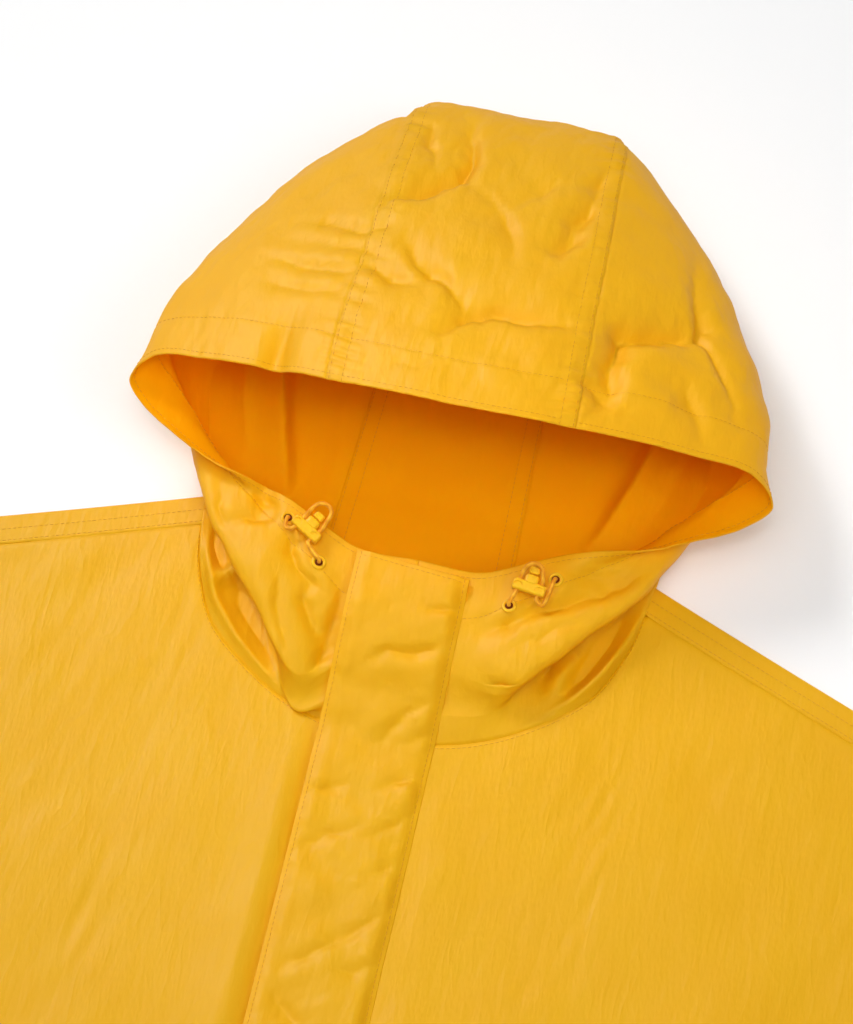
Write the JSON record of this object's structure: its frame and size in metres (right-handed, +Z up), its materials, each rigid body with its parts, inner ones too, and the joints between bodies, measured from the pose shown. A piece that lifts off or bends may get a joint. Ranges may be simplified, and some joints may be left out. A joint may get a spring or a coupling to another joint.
{
  "type": "anorak pullover",
  "caption": "Hooded anorak pullover laid flat on its back, with a panelled hood standing open, a flap over the front opening and cord locks at the hood's edge.",
  "frame": {"origin": "on the surface the garment lies on, under the middle of its bounding box", "axes": "+X to the wearer's left, +Y from the hem to the crown of the hood, +Z up from the surface, out of the garment's front"},
  "size_m": [1.2539, 0.9796, 0.1257],
  "materials": {
    "shell": "matt crinkled nylon, fine plain weave",
    "flap": "matt crinkled nylon in two layers",
    "lock": "moulded plastic in the shell's colour",
    "cord": "braided elastic cord"
  },
  "bodies": {
    "root": {"hood_left": "shell", "hood_right": "shell", "hood_centre": "shell", "back": "shell", "front": "shell", "sleeve_left": "shell", "sleeve_right": "shell", "placket_flap": "flap", "cord_left": "cord", "cord_right": "cord", "lock_left": "lock", "button_left": "lock", "eyelet_left_upper": "lock", "eyelet_left_lower": "lock", "lock_right": "lock", "button_right": "lock", "eyelet_right_upper": "lock", "eyelet_right_lower": "lock"}
  },
  "joints": []
}
